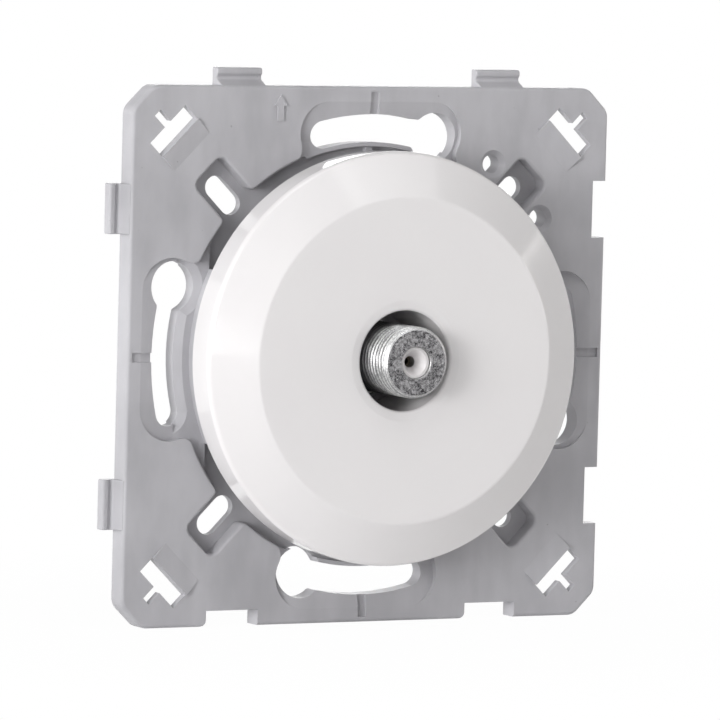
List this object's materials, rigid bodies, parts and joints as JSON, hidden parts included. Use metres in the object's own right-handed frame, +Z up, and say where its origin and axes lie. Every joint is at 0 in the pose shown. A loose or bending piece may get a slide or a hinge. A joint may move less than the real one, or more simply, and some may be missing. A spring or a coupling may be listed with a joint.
{
  "type": "tv antenna socket",
  "caption": "Round white flush aerial outlet with a threaded coaxial jack on a square grey mounting plate, cable clamp and hinged lid behind.",
  "frame": {"origin": "middle of the mounting plate on the wall plane, on the axis of the jack and the cover", "axes": "+Z up as the arrow on the plate points, +X to the right seen from the room, +Y into the wall box, so the jack points along -Y"},
  "size_m": [0.0733, 0.0341, 0.0733],
  "materials": {
    "frame_plastic": "light grey moulded plastic, fine satin",
    "cover_plastic": "white, glossy",
    "cast_metal": "zinc casting, bright and slightly grainy",
    "insulator_plastic": "milky white plastic",
    "contact_bronze": "dull bronze",
    "plated_steel": "zinc plated steel",
    "board_laminate": "green laminate",
    "brass": "turned brass",
    "capacitor_coat": "orange-brown ceramic coat",
    "ferrite": "dark grey ferrite",
    "wire_enamel": "enamelled copper",
    "resistor_coat": "beige lacquer",
    "choke_sleeve": "black shrink sleeve",
    "lid_steel": "tinned sheet steel"
  },
  "bodies": {
    "socket": {"support_frame": "frame_plastic", "cover": "cover_plastic", "jack_housing": "cast_metal", "insulator": "insulator_plastic", "centre_contact": "contact_bronze", "housing_screws": "plated_steel", "circuit_board": "board_laminate", "terminal_cage": "brass", "coupling_capacitor": "capacitor_coat", "ring_core": "ferrite", "core_winding": "wire_enamel", "load_resistor": "resistor_coat", "rod_choke": "choke_sleeve", "hinge_pin": "plated_steel"},
    "lid": {"shield_lid": "lid_steel"},
    "saddle": {"cable_saddle": "plated_steel"},
    "left_saddle_screw": {"saddle_screw_left": "plated_steel"},
    "right_saddle_screw": {"saddle_screw_right": "plated_steel"},
    "terminal_plate": {"pressure_plate": "plated_steel"},
    "terminal_screw": {"terminal_screw": "plated_steel"}
  },
  "joints": [
    {"name": "lid_hinge", "type": "hinge", "parent": "socket", "child": "lid", "pos_m": [0, 0.0158, 0.0143], "axis": [1, 0, 0], "range_deg": [0, 110]},
    {"name": "saddle_slide", "type": "slide", "parent": "socket", "child": "saddle", "axis": [0, 1, 0], "range_m": [0, 0.003]},
    {"name": "saddle_screw_turn_left", "type": "hinge", "parent": "saddle", "child": "left_saddle_screw", "pos_m": [-0.007, 0.012, -0.0167], "axis": [0, 1, 0], "range_deg": [0, 2400]},
    {"name": "saddle_screw_turn_right", "type": "hinge", "parent": "saddle", "child": "right_saddle_screw", "pos_m": [0.007, 0.012, -0.0167], "axis": [0, 1, 0], "range_deg": [0, 2400]},
    {"name": "pressure_plate_slide", "type": "slide", "parent": "socket", "child": "terminal_plate", "axis": [0, 1, 0], "range_m": [0, 0.0012]},
    {"name": "terminal_screw_turn", "type": "hinge", "parent": "terminal_plate", "child": "terminal_screw", "pos_m": [0, 0.012, 0.0045], "axis": [0, 1, 0], "range_deg": [0, 960]}
  ],
  "couplings": [
    {"joint": "saddle_screw_turn_left", "follows": "saddle_slide", "rad_per_m": 13963},
    {"joint": "saddle_screw_turn_right", "follows": "saddle_slide", "rad_per_m": 13963},
    {"joint": "terminal_screw_turn", "follows": "pressure_plate_slide", "rad_per_m": 13963}
  ]
}
